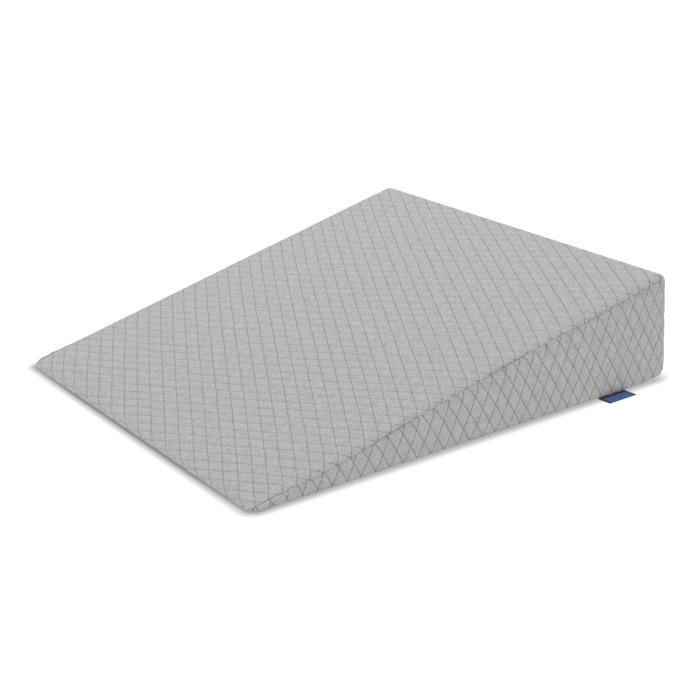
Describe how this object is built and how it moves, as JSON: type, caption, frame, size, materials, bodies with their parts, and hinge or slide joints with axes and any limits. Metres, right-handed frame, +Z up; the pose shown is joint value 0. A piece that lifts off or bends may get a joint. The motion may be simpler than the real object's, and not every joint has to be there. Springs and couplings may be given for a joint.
{
  "type": "wedge pillow",
  "caption": "Foam wedge pillow that tapers from a tall back to a thin edge, in a quilted knit cover with a small woven tab in its bottom seam.",
  "frame": {"origin": "on the surface it rests on, under the middle of the wedge's footprint", "axes": "+Z up; +Y towards the tall end; +X towards the side panel that carries the tab"},
  "size_m": [0.6214, 0.6127, 0.1377],
  "materials": {
    "quilted_knit": "light grey melange knit, quilted in diamonds with thin grey lines",
    "woven_tab": "blue woven ribbon with a darker border, bare"
  },
  "bodies": {
    "root": {"wedge-cushion": "quilted_knit", "woven-tab": "woven_tab"}
  },
  "joints": []
}
